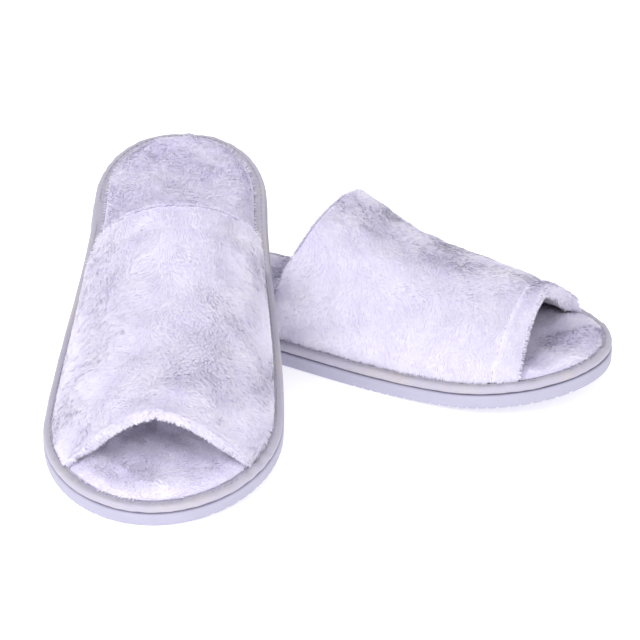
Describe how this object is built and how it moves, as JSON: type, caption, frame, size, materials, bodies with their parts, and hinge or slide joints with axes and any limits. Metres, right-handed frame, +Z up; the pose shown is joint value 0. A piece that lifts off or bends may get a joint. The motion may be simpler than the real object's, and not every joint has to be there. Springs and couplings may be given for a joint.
{
  "type": "spa slippers",
  "caption": "Open-toe, open-back plush spa slippers with taped edges and ribbed foam soles; the left slipper leans heel-up over the right one's instep.",
  "frame": {"origin": "middle of the pair's footprint, on the ground", "axes": "+Z up; -Y is the way the leaning left slipper's toe points; +X towards the flat right slipper's toe"},
  "size_m": [0.2648, 0.2752, 0.0972],
  "materials": {
    "eva_foam": "moulded closed-cell EVA foam, matt with a faint cell grain",
    "fibre_board": "pressed fibre insole board",
    "sponge": "open-cell polyurethane sponge",
    "plush": "brushed coral-fleece plush with a short soft pile",
    "binding_tape": "folded grey woven binding tape",
    "sewing_thread": "spun polyester sewing thread"
  },
  "bodies": {
    "right_slipper": {"right_outsole": "eva_foam", "right_insole_board": "fibre_board", "right_insole_foam": "sponge", "right_insole_cover": "plush", "right_binding_tape": "binding_tape", "right_binding_stitch": "sewing_thread", "right_upper_outer": "plush", "right_upper_foam": "sponge", "right_upper_lining": "plush", "right_rear_hem_stitch": "sewing_thread", "right_toe_hem_stitch": "sewing_thread"},
    "left_slipper": {"left_outsole": "eva_foam", "left_insole_board": "fibre_board", "left_insole_foam": "sponge", "left_insole_cover": "plush", "left_binding_tape": "binding_tape", "left_binding_stitch": "sewing_thread", "left_upper_outer": "plush", "left_upper_foam": "sponge", "left_upper_lining": "plush", "left_rear_hem_stitch": "sewing_thread", "left_toe_hem_stitch": "sewing_thread"}
  },
  "joints": [
    {"name": "left_slipper_lift", "type": "slide", "parent": "right_slipper", "child": "left_slipper", "axis": [0, 0, 1], "range_m": [0, 0.12]}
  ]
}
